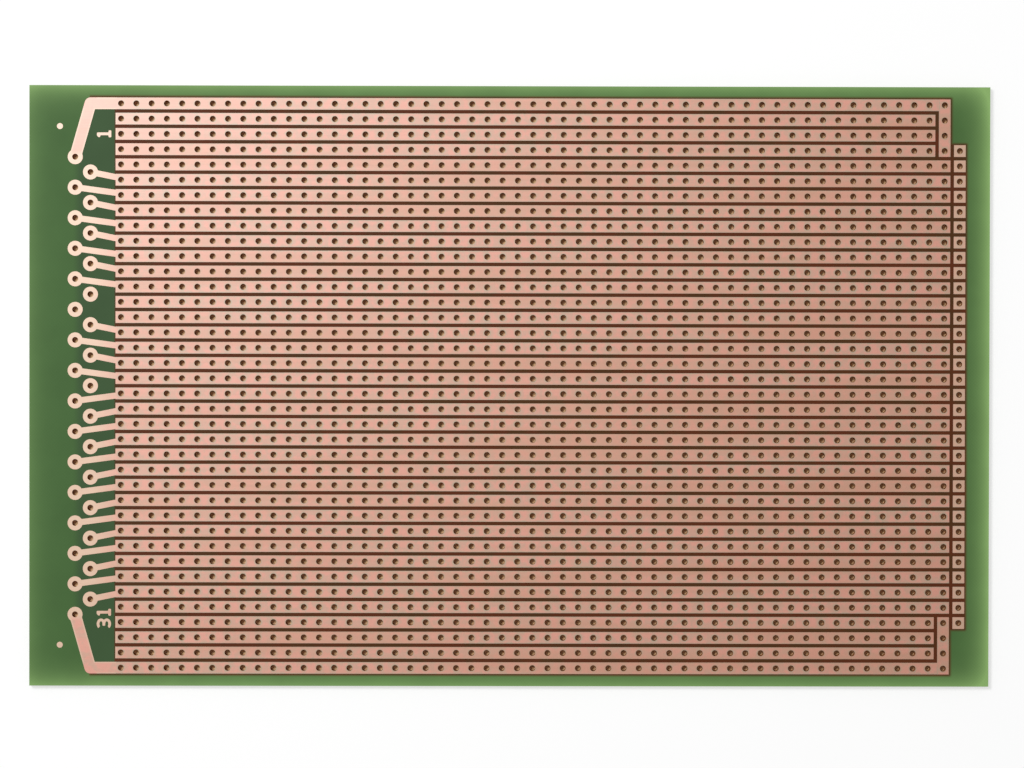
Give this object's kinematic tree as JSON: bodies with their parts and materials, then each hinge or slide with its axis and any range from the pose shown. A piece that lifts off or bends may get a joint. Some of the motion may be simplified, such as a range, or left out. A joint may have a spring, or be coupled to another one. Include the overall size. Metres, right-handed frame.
{
  "type": "prototype board",
  "caption": "Flat drilled circuit board with copper strips, edge connector pads, end pads and bus strips, for soldering up a plug-in circuit card.",
  "frame": {"origin": "centre of the board's underside", "axes": "+X along the strips, away from the connector pads; +Y across the strips; +Z out of the copper side"},
  "size_m": [0.16, 0.1, 0.0016],
  "materials": {
    "laminate": "satin green glass epoxy",
    "copper": "satin bare copper foil"
  },
  "bodies": {
    "root": {"board": "laminate", "bus_top": "copper", "bus_bottom": "copper", "strip_02": "copper", "strip_03": "copper", "strip_04": "copper", "strip_05": "copper", "strip_06": "copper", "strip_07": "copper", "strip_08": "copper", "strip_09": "copper", "strip_10": "copper", "strip_11": "copper", "strip_12": "copper", "strip_13": "copper", "strip_14": "copper", "strip_15": "copper", "strip_16": "copper", "strip_17": "copper", "strip_18": "copper", "strip_19": "copper", "strip_20": "copper", "strip_21": "copper", "strip_22": "copper", "strip_23": "copper", "strip_24": "copper", "strip_25": "copper", "strip_26": "copper", "strip_27": "copper", "strip_28": "copper", "strip_29": "copper", "strip_30": "copper", "strip_31": "copper", "strip_32": "copper", "strip_33": "copper", "strip_34": "copper", "strip_35": "copper", "strip_36": "copper", "strip_37": "copper", "free_pads": "copper", "end_pads": "copper", "drill_marks": "copper"}
  },
  "joints": []
}
